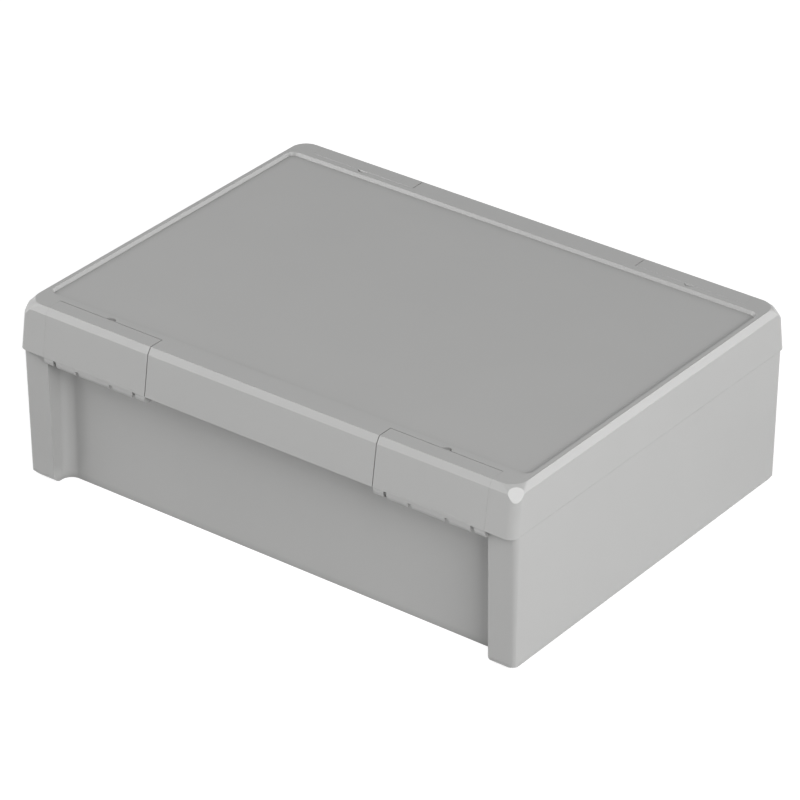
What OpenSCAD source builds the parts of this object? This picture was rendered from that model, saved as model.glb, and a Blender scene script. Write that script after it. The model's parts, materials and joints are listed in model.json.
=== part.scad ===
// Project box with a lid that hinges on one long side and four snap catches.
// Millimetres. Origin at the middle of the footprint, +X along the long side,
// -Y towards the opening side, +Z up.

/* [Body] */
// Length over the two short sides
body_l = 271; // [250:1:330]
// Width over the corner posts
body_w = 201; // [180:1:250]
// Height of the base up to the parting plane
base_h = 67.4; // [50:0.1:110]
// Height of the lid above the parting plane
lid_h = 22.8; // [22:0.1:30]
// Wall thickness of the base
wall = 4.4; // [4.2:0.1:5]
// Thickness of the base floor
floor_t = 3.2; // [2.5:0.1:5]
// Draft of the outer faces of the base, in degrees
draft = 0.8; // [0:0.1:1]
// Gap between lid and base at the parting plane
parting_gap = 0.05; // [0.05:0.05:0.3]

/* [Corner posts] */
// Width of a corner post along the long side
post_w = 14.5; // [13:0.1:16]
// Depth of the recess in a long side, between the posts
recess_d = 11.5; // [11.4:0.1:15]
// Radius of the upright outer edge of a post
post_r = 2.5; // [2:0.1:5]
// Radius of the cove where a post meets the recessed wall
cove_r = 5.5; // [3:0.5:7]
// Radius under the posts, along the long sides
foot_r = 4.5; // [3:0.5:9]
// Radius under the short sides
end_foot_r = 3.8; // [1:0.1:4.5]
// Size of the facet under a corner, along each side
foot_facet = 8; // [5:0.5:8]
// Distance of a wall fixing hole from the short side
fix_in_x = 6.8; // [6.6:0.1:7.2]
// Distance of a wall fixing hole from the post face
fix_in_y = 6.8; // [6.6:0.1:7.2]
// Radius of a wall fixing hole
fix_r = 2.3; // [1.5:0.1:2.6]
// Radius of the screw channel above a fixing hole
channel_r = 4; // [3.2:0.1:4.2]
// Height of the screw seat above the bottom
seat_z = 8; // [5:0.5:12]

/* [Board bosses] */
// Distance between bosses along the long side
boss_dx = 236; // [120:1:238]
// Distance between bosses along the short side
boss_dy = 150; // [80:1:155]
// Radius of a boss
boss_r = 3.6; // [3:0.1:5]
// Radius of the pilot hole in a boss
pilot_r = 1.45; // [1:0.05:2]
// Height of a boss above the floor
boss_h = 8; // [5:0.5:14]
// Floor left under a pilot hole, above the base floor
pilot_floor = 1; // [0.5:0.1:2]

/* [Lid] */
// Thickness of the lid skin and of the catch skin
skin_t = 2.6; // [2:0.1:3]
// Thickness of the panel in the middle of the lid
panel_t = 2.8; // [2:0.1:4]
// How far the foot of the lid skirt stands out past the posts
flare = 2.8; // [2.5:0.1:4]
// How far the shoulder of the lid skirt stands out past the posts
shoulder_out = -0.3; // [-0.5:0.1:1.5]
// Height of the bevel round the top edge
bevel_h = 3.1; // [2:0.1:3.5]
// Width of the bevel round the top edge
bevel_w = 2.1; // [1.5:0.1:3]
// Radius of the lid corners in plan
lid_r = 4; // [3:0.5:8]
// Radius of the top edge at the corners in plan
lid_top_r = 8; // [2:0.5:9]
// Size of the facet at a lid corner, along each side
lid_facet = 5; // [3:0.5:6]
// Depth of the recessed panel
panel_d = 1.5; // [0.5:0.1:2]
// Width of the rim beside the panel on the short sides
rim_x = 4.3; // [3.2:0.1:6]
// Width of the strip beside the panel on the long sides, from the post face
strip_y = 13.8; // [13.5:0.1:18]
// How far the panel wall leans over its depth
panel_lean = 1; // [0.2:0.1:1.5]
// Radius of the panel corners
panel_r = 4; // [3:0.5:8]

/* [Seal] */
// Thickness of the tongue on the base rim
tongue_t = 1.4; // [1:0.1:1.8]
// Height of the tongue on the base rim
tongue_h = 2.4; // [1.5:0.1:3]
// Distance of the tongue from the cavity wall
tongue_in = 0.3; // [0.1:0.1:0.5]
// Room beside the tongue in the lid groove
groove_gap = 0.8; // [0.6:0.1:0.9]
// Height of the seal
seal_h = 2.5; // [1.5:0.1:3.5]
// Room beside the seal in the lid groove
seal_gap = 0.2; // [0.05:0.05:0.4]
// Thickness of the rib inside the groove
groove_rib = 1.4; // [1:0.1:2]

/* [Catches] */
// Distance of the seam between catch and lid middle from the centre
seam_x = 62.5; // [50:0.5:75]
// Width of the visible seam
seam_gap = 0.4; // [0.2:0.05:0.6]
// Gap at the outer end of a catch
end_gap = 0.05; // [0.05:0.05:0.3]
// Distance of the catch top edge from the post face
catch_in = 10; // [9:0.1:10.5]
// Distance of the catch pivot from the post face
pivot_in = 5; // [4.5:0.1:5.5]
// Depth of the catch pivot below the top
pivot_down = 4.5; // [4:0.1:5]
// Gap round the catch top edge in the lid
rock_gap = 0.15; // [0.1:0.05:0.3]
// Radius of the catch trunnions
pin_r = 2; // [1.5:0.1:2.2]
// Length of the catch trunnions
pin_l = 2.2; // [1.5:0.1:2.4]
// Thickness of the lid walls that hold the trunnions
pin_wall = 2.5; // [2:0.1:3]
// Radial running clearance of the trunnions and of the hinge bar
run_gap = 0.08; // [0.03:0.01:0.1]
// Thickness of the end cheeks of a catch
cheek_t = 2.4; // [2:0.1:3]
// Thickness of the stiffening ribs in a catch
stiff_t = 1.6; // [1:0.1:2.5]
// Radius of the screwdriver notch beside a catch
notch_r = 2.6; // [2:0.1:3]
// Depth of the screwdriver notch
notch_d = 1; // [0.6:0.1:1.2]

/* [Hinge bars] */
// Distance of the hook face inside the foot of the skirt
hook_in = 0.1; // [0.05:0.05:0.3]
// Depth of the bar axis below the parting plane
bar_down = 1.5; // [1.2:0.1:2]
// Radius of the hinge bar
bar_r = 1.7; // [1.5:0.05:1.75]
// Outer radius of the hook round the bar
hook_r = 2.8; // [2.75:0.05:2.9]
// Width of the lug at each end of a bar
lug_w = 5.4; // [4:0.1:7]
// Outer radius of the lugs
lug_r = 2.6; // [2.3:0.1:2.7]
// Distance of a bar rib from the middle of its catch
rib_dx = 9.7; // [6:0.1:14]
// Thickness of a bar rib
rib_t = 1.4; // [1:0.1:1.6]
// Width of the slots in the hook
slot_w = 2; // [1.8:0.1:3]
// Distance of the bracket face from the bar axis
bracket_back = 4.5; // [4.2:0.1:5]

/* [Hidden] */
$fn = 48;

body_color = [0.68, 0.68, 0.68];
catch_color = [0.69, 0.69, 0.69];
seal_color = [0.14, 0.14, 0.14];

hull_fn = 32;
over = 1;            // how far a cut runs past the solid that it cuts
level_h = 0.01;      // height of the discs that carry the lid outline
smooth_step = 0.02;  // how far a foot stands inside the drafted face above it
foot_tilt = 60;      // tilt of the facet under a corner
lid_tilt = 35;       // tilt of the facet at a lid corner

post_y = body_w / 2;
half_l = body_l / 2;
wall_y = post_y - recess_d;
post_x = half_l - post_w;
cav_x = half_l - wall;
cav_y = wall_y - wall;
cav_r = 3;
top_z = base_h + lid_h;
lid_z = base_h + parting_gap;

// Lid outline, from the parting plane up
shoulder_z = top_z - bevel_h;
skirt_slope = (flare - shoulder_out) / (shoulder_z - base_h);
ceil_z = top_z - skin_t;
knee_drop = 1.1;     // how far the inner knee of the skirt lies below its shoulder
knee_z = shoulder_z - knee_drop;
below_z = base_h - 10;
panel_z = top_z - panel_d;
panel_y = post_y - strip_y;
panel_x = half_l - rim_x;

// Seal ring: tongue, groove and gasket share one centre line
groove_w = tongue_t + 2 * groove_gap;
groove_x = cav_x + tongue_in - groove_gap;
groove_y = cav_y + tongue_in - groove_gap;
seal_z = base_h + tongue_h;
groove_z = seal_z + seal_h;

// Catch: pivot, rocking radius and span along X
pivot_y = post_y - pivot_in;
pivot_z = top_z - pivot_down;
catch_r = norm([catch_in - pivot_in, pivot_down]);
trough_r = catch_r + rock_gap;
web_y = pivot_y - trough_r;
catch_x0 = seam_x + seam_gap / 2;
catch_x1 = post_x - end_gap;
catch_mid = (seam_x + post_x) / 2;
cheek_r = 4.2;
web_z = base_h + 5;
web_back = 2;        // how far a catch web starts below the pivot
stiff_dx = 15.5;
notch_in = 0.4;      // how far a notch centre lies outside the catch edge
hollow_x = seam_x - seam_gap / 2 - pin_wall;

// Hinge bar
bar_y = post_y + flare - hook_in - hook_r;
bar_z = base_h - bar_down;
clear_r = bar_r + run_gap;
lug_room = lug_r + rock_gap;
hook_x0 = seam_x + lug_w + slot_w;
hook_x1 = post_x - lug_w - slot_w;
bracket_y = bar_y - bracket_back;
bracket_top = base_h - 0.3;
lug_top = 1.35;      // height of a lug above the bar axis
rib_top = 1.2;       // height of a bar rib above the bar axis
slot_top = 1.7;      // height of a slot above the bar axis, behind the bar
slot_out = 0.4;      // height of a slot above the bar axis, in the hook face
lip_low = 54;        // angle of the hook lip below the bar, in degrees
lip_back = 205;      // angle of the hook back behind the bar, in degrees

// Hollow under a lid corner
pocket_wall = 2.8;
pocket_rim = 2;
pocket_back = 4;
pocket_r = 1.5;

function skirt_y(z) = post_y + shoulder_out + skirt_slope * (shoulder_z - z);

// ---- helpers ----

// Extrudes a Y-Z section along X from x0 to x1
module along_x(x0, x1) {
    translate([x0, 0, 0]) rotate([90, 0, 90]) linear_extrude(x1 - x0) children();
}

// Repeats its children on both long sides
module both_sides() {
    for (side = [0, 1]) mirror([0, side, 0]) children();
}

// Repeats its children at both ends
module both_ends() {
    for (end = [0, 1]) mirror([end, 0, 0]) children();
}

// Rectangle of half sizes hx and hy with corners of radius r
module round_rect(hx, hy, r) {
    square([2 * hx, 2 * (hy - r)], center = true);
    square([2 * (hx - r), 2 * hy], center = true);
    for (sx = [-1, 1], sy = [-1, 1]) translate([sx * (hx - r), sy * (hy - r)]) circle(r);
}

// Ring between two rounded rectangles, w wide
module ring(hx, hy, r, w) {
    difference() {
        round_rect(hx + w, hy + w, r + w);
        round_rect(hx, hy, r);
    }
}

// Four discs at the corners of a rectangle, for a hull
module corner_discs(hx, hy, r, h, r_top) {
    for (sx = [-1, 1], sy = [-1, 1])
        translate([sx * (hx - r), sy * (hy - r), 0]) cylinder(h = h, r1 = r, r2 = r_top, $fn = hull_fn);
}

// Cuts the +X +Y corner at hx and hy: the facet meets both sides at a distance of size, at z = 0
module corner_facet(hx, hy, size, tilt) {
    reach = 4 * size;
    translate([hx, hy, 0]) rotate([0, 0, 45]) translate([-size / sqrt(2), 0, 0])
        rotate([0, -tilt, 0]) translate([0, -reach, -reach]) cube([reach, 2 * reach, 2 * reach]);
}

// ---- base ----

// Upright section with rounded lower corners; it is wider than the body above them
module footed_section(half_w, r) {
    foot_w = half_w - tan(draft) * (base_h - r) + smooth_step;
    translate([-half_w - over, r]) square([2 * (half_w + over), base_h]);
    translate([r - foot_w, 0]) square([2 * (foot_w - r), r + over]);
    for (s = [-1, 1]) translate([s * (foot_w - r), r]) circle(r, $fn = 96);
}

module base_block() {
    inset = tan(draft) * base_h;
    difference() {
        intersection() {
            hull() translate([0, 0, base_h]) mirror([0, 0, 1])
                corner_discs(half_l, post_y, post_r, base_h, post_r - inset);
            along_x(-half_l - over, half_l + over) footed_section(post_y, foot_r);
            translate([0, post_y + over, 0]) rotate([90, 0, 0])
                linear_extrude(body_w + 2 * over) footed_section(half_l, end_foot_r);
        }
        both_sides() both_ends() mirror([0, 0, 1])
            corner_facet(half_l - inset, post_y - inset, foot_facet, foot_tilt);
    }
}

// Recess in a long side, with coves at its ends
module side_recess() {
    reach = recess_d + over;
    translate([0, wall_y, -over]) linear_extrude(base_h + 2 * over) {
        translate([-post_x, cove_r]) square([2 * post_x, reach - cove_r]);
        translate([cove_r - post_x, 0]) square([2 * (post_x - cove_r), cove_r + over]);
        for (s = [-1, 1]) translate([s * (post_x - cove_r), cove_r]) circle(cove_r);
    }
}

// Bracket, bar, end lugs and ribs of one hinge, on the +X +Y side
module hinge_bar() {
    bar_x0 = seam_x + seam_gap / 2;
    drop = bracket_y - wall_y;
    along_x(bar_x0, post_x + over) polygon([
        [wall_y - over, bar_z - lug_r - drop - over], [bracket_y, bar_z - lug_r],
        [bracket_y, bracket_top], [wall_y - over, bracket_top]]);
    along_x(bar_x0, post_x) translate([bar_y, bar_z]) circle(bar_r);
    for (x = [bar_x0, post_x - lug_w]) along_x(x, x + lug_w) {
        translate([bar_y, bar_z]) circle(lug_r);
        translate([bracket_y - over, bar_z - lug_r])
            square([bar_y - bracket_y + over, lug_r + lug_top]);
    }
    for (s = [-1, 1]) {
        x = catch_mid + s * rib_dx - rib_t / 2;
        along_x(x, x + rib_t) translate([bracket_y - over, bar_z - bar_r])
            square([bar_y - bracket_y + over, bar_r + rib_top]);
    }
}

// Screw channel and wall fixing hole in the +X +Y post
module fixing_hole() {
    translate([half_l - fix_in_x, post_y - fix_in_y, 0]) {
        translate([0, 0, -over]) cylinder(h = seat_z + 2 * over, r = fix_r);
        translate([0, 0, seat_z]) cylinder(h = base_h - seat_z + over, r = channel_r);
    }
}

module board_boss() {
    translate([boss_dx / 2, boss_dy / 2, floor_t - over]) difference() {
        cylinder(h = boss_h + over, r = boss_r);
        translate([0, 0, over + pilot_floor]) cylinder(h = boss_h, r = pilot_r);
    }
}

module base() {
    color(body_color) {
        difference() {
            base_block();
            both_sides() side_recess();
            translate([0, 0, floor_t]) linear_extrude(base_h) round_rect(cav_x, cav_y, cav_r);
            both_sides() both_ends() fixing_hole();
        }
        translate([0, 0, base_h - over]) linear_extrude(tongue_h + over)
            ring(cav_x + tongue_in, cav_y + tongue_in, cav_r + tongue_in, tongue_t);
        both_sides() both_ends() {
            hinge_bar();
            board_boss();
        }
    }
}

// ---- lid ----

module lid_block() {
    difference() {
        hull() {
            translate([0, 0, lid_z])
                corner_discs(half_l, skirt_y(lid_z), lid_r, level_h, lid_r);
            translate([0, 0, shoulder_z - level_h])
                corner_discs(half_l, skirt_y(shoulder_z), lid_r, level_h, lid_r);
            translate([0, 0, top_z - level_h])
                corner_discs(half_l - bevel_w, skirt_y(shoulder_z) - bevel_w, lid_top_r, level_h,
                    lid_top_r);
        }
        both_sides() both_ends() translate([0, 0, shoulder_z])
            corner_facet(half_l, skirt_y(shoulder_z), lid_facet, lid_tilt);
    }
}

// Recessed panel with leaning walls
module panel_cut() {
    grow = panel_lean * (panel_d + over) / panel_d;
    hull() translate([0, 0, top_z + over]) mirror([0, 0, 1])
        corner_discs(panel_x - panel_lean + grow, panel_y - panel_lean + grow, panel_r + over / 2,
            panel_d + over, panel_r + over / 2 - grow);
}

// Section inside the skin of a long side, from the web out to the skirt
module under_skin(y_from) {
    knee_y = skirt_y(knee_z) - skin_t;
    polygon([[y_from, below_z], [skirt_y(below_z) - skin_t, below_z], [knee_y, knee_z],
        [knee_y - (ceil_z - knee_z), ceil_z], [y_from, ceil_z]]);
}

// Section of the room that a catch fills and rocks in
module catch_room() {
    translate([pivot_y, below_z]) square([3 * pivot_in, top_z + over - below_z]);
    translate([web_y, below_z]) square([trough_r, pivot_z - below_z]);
    translate([pivot_y, pivot_z]) circle(trough_r);
}

// Hollow under the lid corner, above the screw channel
module corner_pocket() {
    z_room = pivot_z - pin_r - base_h;
    size_x = post_w - pin_wall - pocket_wall;
    size_y = recess_d - pocket_back;
    translate([post_x + pin_wall + size_x / 2, post_y - pocket_rim - size_y / 2, base_h - over])
        linear_extrude(z_room + over) round_rect(size_x / 2, size_y / 2, pocket_r);
}

module lid() {
    color(body_color) difference() {
        lid_block();
        panel_cut();
        translate([0, 0, base_h - over]) linear_extrude(lid_h - panel_d - panel_t + over)
            round_rect(groove_x - groove_rib, groove_y - groove_rib, cav_r);
        translate([0, 0, base_h - over]) linear_extrude(groove_z - base_h + over)
            ring(groove_x, groove_y, cav_r, groove_w);
        both_sides() {
            along_x(-hollow_x, hollow_x) under_skin(web_y);
            both_ends() {
                along_x(seam_x - seam_gap / 2, post_x) catch_room();
                translate([seam_x - pin_wall - over, pivot_y, pivot_z]) rotate([0, 90, 0])
                    cylinder(h = post_x - seam_x + 2 * (pin_wall + over), r = pin_r + run_gap);
                corner_pocket();
                translate([catch_mid, post_y - catch_in + notch_in, top_z - notch_d])
                    cylinder(h = notch_d + over, r = notch_r);
            }
        }
    }
}

module gasket() {
    color(seal_color) translate([0, 0, seal_z]) linear_extrude(seal_h)
        ring(groove_x + seal_gap, groove_y + seal_gap, cav_r + seal_gap, groove_w - 2 * seal_gap);
}

// ---- catches ----

// Outer section of a long side of the lid
module side_section() {
    polygon([[web_y, lid_z], [skirt_y(lid_z), lid_z], [skirt_y(shoulder_z), shoulder_z],
        [skirt_y(shoulder_z) - bevel_w, top_z], [web_y, top_z]]);
}

// Outer section of a catch, rounded about its pivot at the top edge
module catch_outline() {
    intersection() {
        side_section();
        union() {
            translate([pivot_y, base_h - over]) square([3 * pivot_in, lid_h + 2 * over]);
            translate([pivot_y, pivot_z]) circle(catch_r);
        }
    }
}

module catch_skin() {
    difference() {
        catch_outline();
        under_skin(web_y - over);
    }
}

// Section of the web that a cheek or a stiffening rib fills, down to z_from
module catch_web(z_from, y_to) {
    intersection() {
        catch_outline();
        polygon([[skirt_y(z_from), z_from], [skirt_y(z_from) - skin_t - 1, z_from],
            [y_to, pivot_z - web_back], [y_to, top_z], [skirt_y(z_from), top_z]]);
    }
}

// Section of the hook round the hinge bar: open below, or a closed C
module hook(closed) {
    far = 3 * hook_r;
    difference() {
        translate([bar_y, bar_z]) {
            circle(hook_r);
            square([hook_r, lid_z - bar_z + over]);
        }
        if (closed) translate([bar_y, bar_z]) {
            circle(clear_r);
            polygon([[0, 0], [far * cos(lip_back), far * sin(lip_back)], [0, -2 * far],
                [far * cos(lip_low), -far * sin(lip_low)]]);
        }
        else translate([bar_y - far, bar_z - far]) square([far + clear_r, 2 * far]);
    }
}

// Catch on the +X +Y side
module catch_piece(closed) {
    difference() {
        union() {
            along_x(catch_x0, catch_x1) catch_skin();
            along_x(hook_x0, hook_x1) hook(closed);
            for (x = [catch_x0, catch_x1 - cheek_t]) along_x(x, x + cheek_t) {
                catch_web(web_z, pivot_y);
                translate([pivot_y, pivot_z]) circle(cheek_r);
            }
            for (k = [-1, 0, 1]) {
                x = catch_mid + k * stiff_dx - stiff_t / 2;
                along_x(x, x + stiff_t) catch_web(web_z, pivot_y);
            }
            for (x = [catch_x0 - pin_l, catch_x1 - over]) translate([x, pivot_y, pivot_z])
                rotate([0, 90, 0]) cylinder(h = pin_l + over, r = pin_r);
        }
        along_x(hook_x0 - over, hook_x1 + over) translate([bar_y, bar_z]) circle(clear_r);
        for (span = [[catch_x0 - over, hook_x0], [hook_x1, catch_x1 + over]])
            along_x(span[0], span[1]) translate([bar_y, bar_z]) circle(lug_room);
        for (s = [-1, 1]) {
            x = catch_mid + s * rib_dx - slot_w / 2;
            along_x(x, x + slot_w) translate([bar_y, bar_z]) {
                translate([-2 * hook_r, -2 * hook_r]) square([2 * hook_r, 2 * hook_r + slot_top]);
                translate([-over, -2 * hook_r]) square([2 * hook_r, 2 * hook_r + slot_out]);
            }
        }
    }
}

module catch_front_left() { color(catch_color) mirror([1, 0, 0]) mirror([0, 1, 0]) catch_piece(false); }
module catch_front_right() { color(catch_color) mirror([0, 1, 0]) catch_piece(false); }
module catch_rear_left() { color(catch_color) mirror([1, 0, 0]) catch_piece(true); }
module catch_rear_right() { color(catch_color) catch_piece(true); }

base();
lid();
gasket();
catch_front_left();
catch_front_right();
catch_rear_left();
catch_rear_right();
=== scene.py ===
"""Looks of a plastic project box: finishes, softened edges, studio and camera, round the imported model."""

import json
import logging
import math
from dataclasses import dataclass
from enum import Enum

import bpy
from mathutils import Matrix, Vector


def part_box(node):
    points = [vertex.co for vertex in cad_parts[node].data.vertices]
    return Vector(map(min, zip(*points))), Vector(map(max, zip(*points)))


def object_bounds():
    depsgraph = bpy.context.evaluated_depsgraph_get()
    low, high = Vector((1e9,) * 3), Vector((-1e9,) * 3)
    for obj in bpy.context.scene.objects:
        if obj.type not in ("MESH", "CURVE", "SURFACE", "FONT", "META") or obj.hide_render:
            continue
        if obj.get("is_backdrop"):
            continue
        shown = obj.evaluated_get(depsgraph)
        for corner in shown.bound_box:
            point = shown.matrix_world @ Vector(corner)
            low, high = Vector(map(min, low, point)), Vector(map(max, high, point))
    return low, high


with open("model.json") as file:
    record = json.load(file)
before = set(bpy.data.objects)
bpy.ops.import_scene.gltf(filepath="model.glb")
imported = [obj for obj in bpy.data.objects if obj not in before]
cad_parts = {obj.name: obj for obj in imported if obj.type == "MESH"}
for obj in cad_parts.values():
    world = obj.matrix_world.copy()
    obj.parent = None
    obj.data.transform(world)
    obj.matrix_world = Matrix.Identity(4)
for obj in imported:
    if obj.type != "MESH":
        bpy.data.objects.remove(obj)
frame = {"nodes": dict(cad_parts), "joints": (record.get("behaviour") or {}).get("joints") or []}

LOG = logging.getLogger("project_box")
MM = 0.001

Colour = tuple[float, float, float]
Place = tuple[float, float, float]
Socket = bpy.types.NodeSocket


class CatchPlace(Enum):
    """The four places of a catch on the box, named by their CAD node."""

    FRONT_LEFT = "catch_front_left"
    FRONT_RIGHT = "catch_front_right"
    REAR_LEFT = "catch_rear_left"
    REAR_RIGHT = "catch_rear_right"


# Node trees


class NodeSheet:
    """A node tree that short calls fill."""

    def __init__(self, tree: bpy.types.NodeTree) -> None:
        """Takes a tree and empties it.

        Args:
            tree: the tree.
        """
        self.tree = tree
        self.tree.nodes.clear()

    def add(self, kind: str, **settings: object) -> bpy.types.Node:
        """Adds one node.

        Args:
            kind: the node's Blender type, such as ShaderNodeTexNoise.
            settings: values of its own properties, by name.

        Returns:
            The node.
        """
        node = self.tree.nodes.new(kind)
        for name, value in settings.items():
            setattr(node, name, value)
        return node

    def wire(self, source: Socket, target: Socket) -> None:
        """Links an output to an input."""
        self.tree.links.new(source, target)

    def value(self, operation: str, *terms: Socket | float) -> Socket:
        """Computes a number.

        Args:
            operation: Blender's name of the operation.
            terms: outputs or plain numbers.

        Returns:
            The result.
        """
        maths = self.add("ShaderNodeMath", operation=operation)
        for slot, term in zip(maths.inputs, terms):
            if isinstance(term, Socket):
                self.wire(term, slot)
            else:
                slot.default_value = term
        return maths.outputs["Value"]


@dataclass(frozen=True)
class Pattern:
    """A cloud-like pattern.

    Attributes:
        size: how wide one cloud is.
        detail: how many finer layers lie over it.
        roughness: how strong the finer layers are.
    """

    size: float
    detail: float
    roughness: float = 0.5


class ShaderSheet(NodeSheet):
    """The nodes of a material or of the world."""

    PATTERN_LOW = 0.25
    PATTERN_HIGH = 0.75
    CORNER_SHADE_RAYS = 8

    def __init__(self, owner: bpy.types.Material | bpy.types.World) -> None:
        """Gives a material or the world an empty node tree.

        Args:
            owner: the material or the world.
        """
        owner.use_nodes = True
        super().__init__(owner.node_tree)

    def point(self) -> Socket:
        """Returns the point in the piece's own space."""
        return self.add("ShaderNodeTexCoord").outputs["Object"]

    def noise(self, at: Socket, pattern: Pattern) -> Socket:
        """Adds a pattern.

        Args:
            at: the point in the piece's own space.
            pattern: its sizes.

        Returns:
            Its value, about 0.5 on average.
        """
        cloud = self.add("ShaderNodeTexNoise")
        cloud.inputs["Scale"].default_value = 1 / pattern.size
        cloud.inputs["Detail"].default_value = pattern.detail
        cloud.inputs["Roughness"].default_value = pattern.roughness
        self.wire(at, cloud.inputs["Vector"])
        return cloud.outputs["Fac"]

    def spread(self, value: Socket, low: float, high: float) -> Socket:
        """Turns the middle range of a pattern into a range of numbers, with soft ends.

        Args:
            value: the pattern's value.
            low: the result where the pattern is at PATTERN_LOW or below.
            high: the result where the pattern is at PATTERN_HIGH or above.

        Returns:
            The new value.
        """
        lane = self.add("ShaderNodeMapRange", interpolation_type="SMOOTHSTEP")
        lane.inputs["From Min"].default_value = self.PATTERN_LOW
        lane.inputs["From Max"].default_value = self.PATTERN_HIGH
        lane.inputs["To Min"].default_value = low
        lane.inputs["To Max"].default_value = high
        self.wire(value, lane.inputs["Value"])
        return lane.outputs["Result"]

    def tint(self, value: Socket, first: Colour | Socket, second: Colour) -> Socket:
        """Turns a value from 0 to 1 into a colour between two.

        Args:
            value: the value.
            first: the colour at 0.
            second: the colour at 1.

        Returns:
            The colour.
        """
        mix = self.add("ShaderNodeMix", data_type="RGBA")
        if isinstance(first, Socket):
            self.wire(first, mix.inputs["A"])
        else:
            mix.inputs["A"].default_value = (*first, 1)
        mix.inputs["B"].default_value = (*second, 1)
        self.wire(value, mix.inputs["Factor"])
        return mix.outputs["Result"]

    def painted_corner_shade(self, reach: float, strength: float) -> Socket:
        """Measures how closed in a point is, for painted shade in inner corners and slots.

        Args:
            reach: how far away a wall still counts.
            strength: the result in a closed slot.

        Returns:
            A value from 0 in the open to the strength.
        """
        # Painted shade: the more nearby walls close a point in, the darker it is painted.
        sky = self.add("ShaderNodeAmbientOcclusion", samples=self.CORNER_SHADE_RAYS)
        sky.inputs["Distance"].default_value = reach
        return self.value("MULTIPLY", self.value("SUBTRACT", 1.0, sky.outputs["AO"]), strength)

    def relief(self, height: Socket, depth: float, under: Socket | None = None) -> Socket:
        """Adds a bump.

        Args:
            height: the pattern, 0 low and 1 high.
            depth: its real height.
            under: the normal of a coarser bump that this one lies on.

        Returns:
            The normal.
        """
        bump = self.add("ShaderNodeBump")
        bump.inputs["Distance"].default_value = depth
        self.wire(height, bump.inputs["Height"])
        if under is not None:
            self.wire(under, bump.inputs["Normal"])
        return bump.outputs["Normal"]

    def seen(self) -> Socket:
        """Returns 1 where the camera or a reflection looks, and 0 for the light."""
        path = self.add("ShaderNodeLightPath")
        return self.value("MAXIMUM", path.outputs["Is Camera Ray"], path.outputs["Is Glossy Ray"])

    def show(self, shader: Socket, output: str = "ShaderNodeOutputMaterial") -> None:
        """Shows a shader.

        Args:
            shader: its output.
            output: the Blender type of the tree's last node.
        """
        self.wire(shader, self.add(output).inputs["Surface"])


# Finishes


@dataclass(frozen=True)
class MouldedFinish:
    """Satin plastic from a spark-eroded mould: even colour, a fine grain and a faint waviness, with painted
    shade in inner corners.

    Attributes:
        clouding: how far the colour drifts, as a share of itself.
        roughness_drift: how far the roughness drifts to either side.
        corner_shade_colour: the colour of the painted shade that inner corners lean to, by
            corner_shade_share at most, within corner_shade_reach of a wall.
        grain_depth: the height of the grain.
        wave_depth: the height of the waves.
    """

    name: str
    colour: Colour = (0.42, 0.42, 0.415)
    clouding: float = 0.008
    clouds: Pattern = Pattern(45 * MM, detail=2)
    roughness: float = 0.287
    roughness_drift: float = 0.01
    drift: Pattern = Pattern(15 * MM, detail=3)
    corner_shade_colour: Colour = (0.12, 0.12, 0.115)
    corner_shade_share: float = 0.55
    corner_shade_reach: float = 4 * MM
    grain: Pattern = Pattern(0.45 * MM, detail=2, roughness=0.6)
    grain_depth: float = 0.002 * MM
    wave: Pattern = Pattern(60 * MM, detail=0)
    wave_depth: float = 0.01 * MM

    def shade(self, by: float) -> Colour:
        """Returns the colour, lighter or darker by a share of itself."""
        red, green, blue = self.colour
        return red * (1 + by), green * (1 + by), blue * (1 + by)

    def paint(self, sheet: ShaderSheet, point: Socket) -> Socket:
        """Makes the surface colour, with painted shade in inner corners.

        Args:
            sheet: the material's nodes.
            point: the point in the piece's own space.

        Returns:
            The colour.
        """
        cloud = sheet.spread(sheet.noise(point, self.clouds), 0, 1)
        unshaded = sheet.tint(cloud, self.shade(-self.clouding), self.shade(self.clouding))
        # Painted shade: inner corners and slots lean to the dark colour, as if shaded by their walls.
        return sheet.tint(sheet.painted_corner_shade(self.corner_shade_reach, self.corner_shade_share), unshaded, self.corner_shade_colour)

    def material(self) -> bpy.types.Material:
        """Builds the material.

        Returns:
            The material, its patterns fixed to the piece.
        """
        material = bpy.data.materials.new(self.name)
        sheet = ShaderSheet(material)
        point = sheet.point()
        plastic = sheet.add("ShaderNodeBsdfPrincipled")
        sheet.wire(self.paint(sheet, point), plastic.inputs["Base Color"])
        dull, glossy = self.roughness + self.roughness_drift, self.roughness - self.roughness_drift
        sheet.wire(sheet.spread(sheet.noise(point, self.drift), glossy, dull), plastic.inputs["Roughness"])
        wave = sheet.relief(sheet.noise(point, self.wave), self.wave_depth)
        grain = sheet.relief(sheet.noise(point, self.grain), self.grain_depth, wave)
        sheet.wire(grain, plastic.inputs["Normal"])
        sheet.show(plastic.outputs["BSDF"])
        return material


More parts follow.
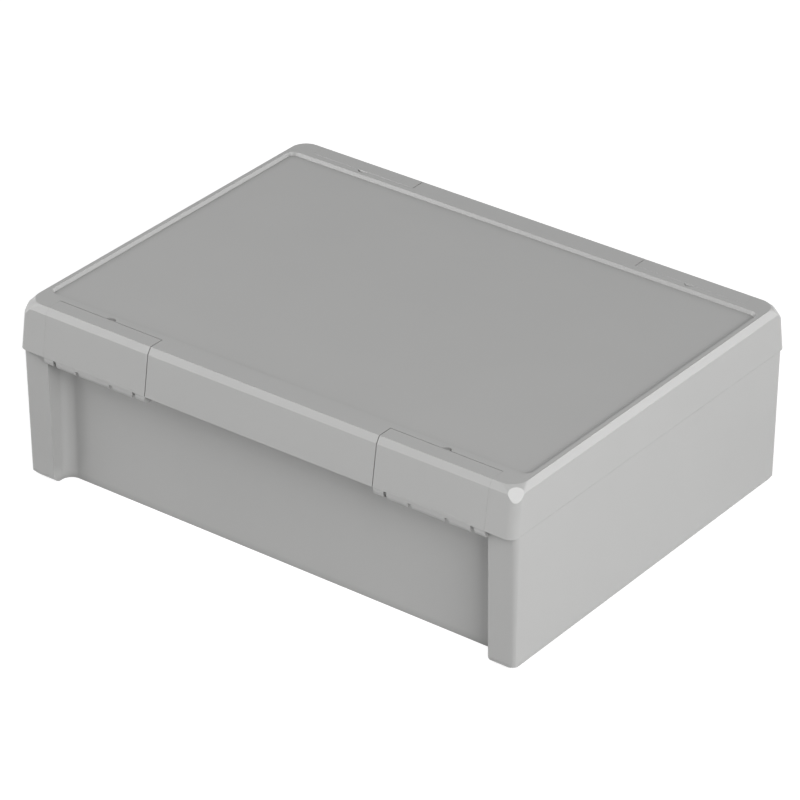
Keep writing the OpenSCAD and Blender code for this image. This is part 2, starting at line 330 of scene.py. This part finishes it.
@dataclass(frozen=True)
class SealFinish:
    """Dark foamed rubber with an open, uneven skin.

    Attributes:
        pore_shade: how bright a pore is painted, as a share of the colour; a painted shade in the pores,
            which the bump also sinks.
        pore_depth: how deep a pore is.
    """

    name: str
    colour: Colour = (0.035, 0.035, 0.037)
    roughness: float = 0.75
    pores: Pattern = Pattern(0.6 * MM, detail=3)
    pore_shade: float = 0.7
    pore_depth: float = 0.05 * MM

    def material(self) -> bpy.types.Material:
        """Builds the material.

        Returns:
            The material, its pores fixed to the piece.
        """
        material = bpy.data.materials.new(self.name)
        sheet = ShaderSheet(material)
        rubber = sheet.add("ShaderNodeBsdfPrincipled")
        pores = sheet.noise(sheet.point(), self.pores)
        red, green, blue = (self.pore_shade * part for part in self.colour)
        # Painted shade: the pores, low in the bump, are painted darker.
        skin = sheet.tint(sheet.spread(pores, 0, 1), (red, green, blue), self.colour)
        sheet.wire(skin, rubber.inputs["Base Color"])
        rubber.inputs["Roughness"].default_value = self.roughness
        sheet.wire(sheet.relief(pores, self.pore_depth), rubber.inputs["Normal"])
        sheet.show(rubber.outputs["BSDF"])
        return material


@dataclass(frozen=True)
class BackgroundFinish:
    """A pale floor that the camera sees as white, with the box's shadow on it.

    Attributes:
        glow: how far the floor is lifted towards white for the camera and for reflections.
    """

    name: str
    colour: Colour = (0.36, 0.36, 0.36)
    glow: float = 0.85

    def material(self) -> bpy.types.Material:
        """Builds the material.

        Returns:
            The material: plain and matt for the light, lifted to white for the camera and for reflections.
        """
        material = bpy.data.materials.new(self.name)
        sheet = ShaderSheet(material)
        matt = sheet.add("ShaderNodeBsdfDiffuse")
        matt.inputs["Color"].default_value = (*self.colour, 1)
        lift = sheet.add("ShaderNodeEmission")
        sheet.wire(sheet.value("MULTIPLY", sheet.seen(), self.glow), lift.inputs["Strength"])
        both = sheet.add("ShaderNodeAddShader")
        sheet.wire(matt.outputs["BSDF"], both.inputs[0])
        sheet.wire(lift.outputs["Emission"], both.inputs[1])
        sheet.show(both.outputs["Shader"])
        return material


def dress(node: str, material: bpy.types.Material) -> bpy.types.Object:
    """Gives a CAD node one finish all over.

    Args:
        node: the node's name.
        material: its finish.

    Returns:
        The node's object.
    """
    piece = frame["nodes"][node]
    piece.data.materials.clear()
    piece.data.materials.append(material)
    return piece


# Edges


@dataclass(frozen=True)
class Zone:
    """A block of space, the same on all four quarters of the box, where edges get their own radius.

    Attributes:
        low: its lowest corner on the quarter where x and y are above 0.
        high: its highest corner there.
        share: the radius in it, as a share of the usual one.
    """

    low: Place
    high: Place
    share: float


@dataclass(frozen=True)
class Seams:
    """The joins between the mouldings, whose edges stay sharper than the others.

    Attributes:
        slack: how far a zone reaches past its join.
        post_slack: how far the zone of a catch's outer end reaches towards its middle, short of the post.
        end_depth: how far the join of base and lid is followed into the corners, along the box.
        end_half: how far it is followed from the middle of an end, across the box.
        catch_half: half the width of a catch.
        top_back: from a catch's pivot back to its upper edge.
        top_depth: how far that edge is followed down.
        pocket_back: where the ends of a catch start, from the middle of the box.
        pocket_foot: the height above which they lie.
        inner_share: the radius on the seam towards the middle of the box.
    """

    slack: float = 0.3 * MM
    post_slack: float = 0.2 * MM
    end_depth: float = 1.5 * MM
    end_half: float = 100 * MM
    catch_half: float = 29.25 * MM
    top_back: float = 5.1 * MM
    top_depth: float = 3.4 * MM
    pocket_back: float = 88 * MM
    pocket_foot: float = 60 * MM
    inner_share: float = 0.35

    def zones(self) -> tuple[Zone, ...]:
        """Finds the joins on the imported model.

        Returns:
            The zones; a later one goes over an earlier one.
        """
        low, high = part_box("lid")
        pivot_x, pivot_y, _ = next(j["pos_m"] for j in frame["joints"] if j["name"] == "catch_right_pivot")
        slack = self.slack
        end, face, roof = high.x + slack, high.y + slack, high.z + slack
        inner, outer = pivot_x - self.catch_half, pivot_x + self.catch_half
        edge, under = -pivot_y - self.top_back, high.z - self.top_depth
        back, foot = self.pocket_back, self.pocket_foot
        return (
            Zone((high.x - self.end_depth, 0, low.z - slack), (end, self.end_half, low.z + slack), share=0),
            Zone((inner - slack, edge - slack, under), (outer + slack, edge + slack, roof), share=0),
            Zone((outer - self.post_slack, back, foot), (outer + slack, face, roof), share=0),
            Zone((inner - slack, back, foot), (inner + slack, face, roof), share=self.inner_share),
        )


class EdgeGraph(NodeSheet):
    """A geometry node group that marks how strongly each edge of a piece is rounded."""

    LEAST_SHARE = 0.01

    def __init__(self, name: str) -> None:
        """Starts a group with its input and output.

        Args:
            name: the group's name.
        """
        super().__init__(bpy.data.node_groups.new(name, "GeometryNodeTree"))
        for way in ("INPUT", "OUTPUT"):
            self.tree.interface.new_socket("Geometry", in_out=way, socket_type="NodeSocketGeometry")

    def within(self, place: list[Socket], zone: Zone) -> Socket:
        """Tells whether an edge lies in a zone.

        Args:
            place: how far it is from the middle of the box along each axis.
            zone: the zone.

        Returns:
            1 if it does, else 0.
        """
        hit: Socket | float = 1.0
        for at, low, high in zip(place, zone.low, zone.high):
            middle, reach = (low + high) / 2, (high - low) / 2
            hit = self.value("MULTIPLY", hit, self.value("COMPARE", at, middle, reach))
        return hit

    def store(self, shape: Socket, name: str, kind: str, mark: Socket) -> Socket:
        """Stores a value on each edge.

        Args:
            shape: the geometry.
            name: Blender's name of the edge's property.
            kind: Blender's name of its type.
            mark: the value.

        Returns:
            The geometry with the value on it.
        """
        keep = self.add("GeometryNodeStoreNamedAttribute", data_type=kind, domain="EDGE")
        keep.inputs["Name"].default_value = name
        self.wire(shape, keep.inputs["Geometry"])
        self.wire(mark, keep.inputs["Value"])
        return keep.outputs["Geometry"]

    def mark(self, sharp_angle: float, zones: tuple[Zone, ...]) -> bpy.types.NodeTree:
        """Marks sharp edges with 1, those in a zone with its share, and those left unrounded as crisp.

        Args:
            sharp_angle: the angle from which an edge is sharp, in radians.
            zones: the zones; a later one goes over an earlier one.

        Returns:
            The group.
        """
        axes = self.add("ShaderNodeSeparateXYZ")
        self.wire(self.add("GeometryNodeInputPosition").outputs["Position"], axes.inputs["Vector"])
        place = [self.value("ABSOLUTE", axis) for axis in axes.outputs]
        share: Socket | float = 1.0
        for zone in zones:
            hit = self.within(place, zone)
            kept = self.value("MULTIPLY", share, self.value("SUBTRACT", 1.0, hit))
            share = self.value("ADD", kept, self.value("MULTIPLY", hit, zone.share))
        angle = self.add("GeometryNodeInputMeshEdgeAngle").outputs["Unsigned Angle"]
        sharp = self.value("GREATER_THAN", angle, sharp_angle)
        weight = self.value("MULTIPLY", sharp, share)
        crisp = self.value("SUBTRACT", sharp, self.value("GREATER_THAN", weight, self.LEAST_SHARE))
        shape = self.add("NodeGroupInput").outputs["Geometry"]
        shape = self.store(shape, "bevel_weight_edge", "FLOAT", weight)
        shape = self.store(shape, "sharp_edge", "BOOLEAN", crisp)
        self.wire(shape, self.add("NodeGroupOutput").inputs["Geometry"])
        return self.tree


@dataclass(frozen=True)
class EdgeBreak:
    """The small radius that a mould and its polishing leave on each sharp edge.

    Attributes:
        name: the name of the group that marks the edges.
        zones: where the radius is another.
        radius: the usual radius.
        sharp_angle: the angle from which an edge is sharp, in radians.
        flat_angle: the angle up to which neighbouring faces are one, in radians.
        weld: how near two corners are one.
        steps: how many faces make up the round.
    """

    name: str
    zones: tuple[Zone, ...]
    radius: float = 0.35 * MM
    sharp_angle: float = math.radians(25)
    flat_angle: float = math.radians(0.6)
    weld: float = 0.002 * MM
    steps: int = 3

    def marks(self) -> bpy.types.NodeTree:
        """Returns the group that marks the edges, made at its first use."""
        group = bpy.data.node_groups.get(self.name)
        return group or EdgeGraph(self.name).mark(self.sharp_angle, self.zones)

    def soften(self, piece: bpy.types.Object) -> None:
        """Rounds a piece's sharp edges, its own mesh left as it is.

        Args:
            piece: the piece.
        """
        weld = piece.modifiers.new("weld", "WELD")
        weld.merge_threshold = self.weld
        flats = piece.modifiers.new("flats", "DECIMATE")
        flats.decimate_type = "DISSOLVE"
        flats.angle_limit = self.flat_angle
        marks = piece.modifiers.new("edge_marks", "NODES")
        marks.node_group = self.marks()
        rounding = piece.modifiers.new("edge_break", "BEVEL")
        rounding.width = self.radius
        rounding.segments = self.steps
        rounding.limit_method = "WEIGHT"
        rounding.harden_normals = False
        rounding.miter_outer = "MITER_ARC"
        shading = piece.modifiers.new("shading", "WEIGHTED_NORMAL")
        shading.keep_sharp = True


# Sub-assemblies

SHELL = MouldedFinish("shell_plastic")
CATCH = MouldedFinish("catch_plastic")
SEAL = SealFinish("seal_rubber")
SOFT_EDGES = EdgeBreak("soft_edges", Seams().zones())


@dataclass
class Moulding:
    """A stiff moulding: its CAD node with a finish and soft edges."""

    node: str
    finish: MouldedFinish = SHELL
    edges: EdgeBreak = SOFT_EDGES

    def build(self) -> bpy.types.Object:
        """Dresses the moulding and returns it."""
        piece = dress(self.node, self.finish.material())
        self.edges.soften(piece)
        return piece


@dataclass
class Base(Moulding):
    """The lower moulding, with the corner posts and the hinge bars."""

    node: str = "base"


@dataclass
class Lid(Moulding):
    """The upper moulding, with the recessed panel and the seats of the catches."""

    node: str = "lid"


@dataclass
class Catch(Moulding):
    """One catch with its hook and slots."""

    finish: MouldedFinish = CATCH


@dataclass
class Seal:
    """The rim seal in the lid's groove."""

    node: str = "gasket"
    finish: SealFinish = SEAL

    def build(self) -> bpy.types.Object:
        """Dresses the seal and returns it."""
        return dress(self.node, self.finish.material())


# Studio


def direction(azimuth: float, elevation: float) -> Vector:
    """Gives the direction from the box towards a place round it.

    Args:
        azimuth: degrees, 0 in front of the box and 90 to its right.
        elevation: degrees above the floor.

    Returns:
        The direction, of length 1.
    """
    around = math.radians(azimuth)
    above = math.radians(elevation)
    level = math.cos(above)
    return Vector((math.sin(around) * level, -math.cos(around) * level, math.sin(above)))


@dataclass(frozen=True)
class SoftLight:
    """A square soft box that faces the box, at an azimuth and an elevation in degrees."""

    name: str
    azimuth: float
    elevation: float
    watts: float
    distance: float = 1.6
    width: float = 0.9

    def build(self, target: Vector) -> bpy.types.Object:
        """Hangs the light.

        Args:
            target: the point that it faces.

        Returns:
            The light.
        """
        lamp = bpy.data.lights.new(self.name, "AREA")
        lamp.shape = "SQUARE"
        lamp.size = self.width
        lamp.energy = self.watts
        light = bpy.data.objects.new(self.name, lamp)
        bpy.context.scene.collection.objects.link(light)
        back = direction(self.azimuth, self.elevation)
        light.location = target + back * self.distance
        light.rotation_euler = back.to_track_quat("Z", "Y").to_euler()
        return light


@dataclass
class Studio:
    """The floor, the sky and the soft boxes."""

    floor_width: float = 12.0
    finish: BackgroundFinish = BackgroundFinish("studio_floor")
    lights: tuple[SoftLight, ...] = (
        SoftLight("key_high", azimuth=60, elevation=28, watts=17.3),
        SoftLight("key_low", azimuth=60, elevation=12, watts=4.5),
        SoftLight("left_high", azimuth=-60, elevation=45, watts=5.7),
        SoftLight("left_low", azimuth=-60, elevation=28, watts=6.2),
        SoftLight("front_low", azimuth=-30, elevation=12, watts=5.0),
        SoftLight("back_low", azimuth=150, elevation=12, watts=6.3),
        SoftLight("right_low", azimuth=120, elevation=12, watts=6.0),
        SoftLight("left_back", azimuth=-100, elevation=10, watts=3.0),
    )

    def build_floor(self, height: float) -> bpy.types.Object:
        """Lays the floor.

        Args:
            height: its height.

        Returns:
            The floor.
        """
        half = self.floor_width / 2
        mesh = bpy.data.meshes.new("floor")
        corners = [(x * half, y * half, height) for x, y in ((-1, -1), (1, -1), (1, 1), (-1, 1))]
        mesh.from_pydata(corners, [], [(0, 1, 2, 3)])
        floor = bpy.data.objects.new("floor", mesh)
        bpy.context.scene.collection.objects.link(floor)
        mesh.materials.append(self.finish.material())
        floor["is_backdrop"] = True
        return floor

    def build_sky(self) -> None:
        """Makes the world: white for the camera and for reflections, dark for the light."""
        world = bpy.data.worlds.new("studio_sky")
        bpy.context.scene.world = world
        sheet = ShaderSheet(world)
        sky = sheet.add("ShaderNodeBackground")
        sky.inputs["Color"].default_value = (1, 1, 1, 1)
        sheet.wire(sheet.seen(), sky.inputs["Strength"])
        sheet.show(sky.outputs["Background"], "ShaderNodeOutputWorld")

    def build(self, low: Vector, high: Vector) -> None:
        """Builds the studio round the box.

        Args:
            low: the box's lowest corner.
            high: its highest corner.
        """
        self.build_floor(low.z)
        self.build_sky()
        centre = (low + high) / 2
        for light in self.lights:
            light.build(centre)


@dataclass(frozen=True)
class Viewpoint:
    """A long lens, in front of the box, to its right and above it.

    Attributes:
        azimuth: degrees, 0 in front of the box and 90 to its right.
        elevation: degrees above the floor.
        lens: its focal length, in millimetres.
        distance: from the camera to the point that it goes round.
        centre: the height of that point, above the middle of the footprint.
        aim_right: how far to its right the camera looks.
        aim_up: how far above it the camera looks.
    """

    azimuth: float = 37.212
    elevation: float = 29.895
    lens: float = 200
    distance: float = 1.9842
    centre: float = 45.75 * MM
    aim_right: float = -1.006 * MM
    aim_up: float = -4.702 * MM

    def build(self) -> bpy.types.Object:
        """Sets up the camera and returns it."""
        back = direction(self.azimuth, self.elevation)
        right = Vector((0, 0, 1)).cross(back).normalized()
        up = back.cross(right)
        centre = Vector((0, 0, self.centre))
        aim = centre + right * self.aim_right + up * self.aim_up
        data = bpy.data.cameras.new("camera")
        data.lens = self.lens
        camera = bpy.data.objects.new("camera", data)
        bpy.context.scene.collection.objects.link(camera)
        camera.location = centre + back * self.distance
        camera.rotation_euler = (camera.location - aim).to_track_quat("Z", "Y").to_euler()
        bpy.context.scene.camera = camera
        return camera


def main() -> None:
    """Builds the box's looks and its studio."""
    logging.basicConfig(level=logging.INFO, format="%(name)s: %(message)s")
    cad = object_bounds()
    low, high = cad
    assemblies = [Base(), Lid(), Seal(), *(Catch(place.value) for place in CatchPlace)]
    for assembly in assemblies:
        piece = assembly.build()
        LOG.info("%s dressed as %s", piece.name, piece.data.materials[0].name)
    Studio().build(low, high)
    Viewpoint().build()
    bpy.context.scene.view_settings.view_transform = "Standard"


if __name__ == "__main__":
    main()
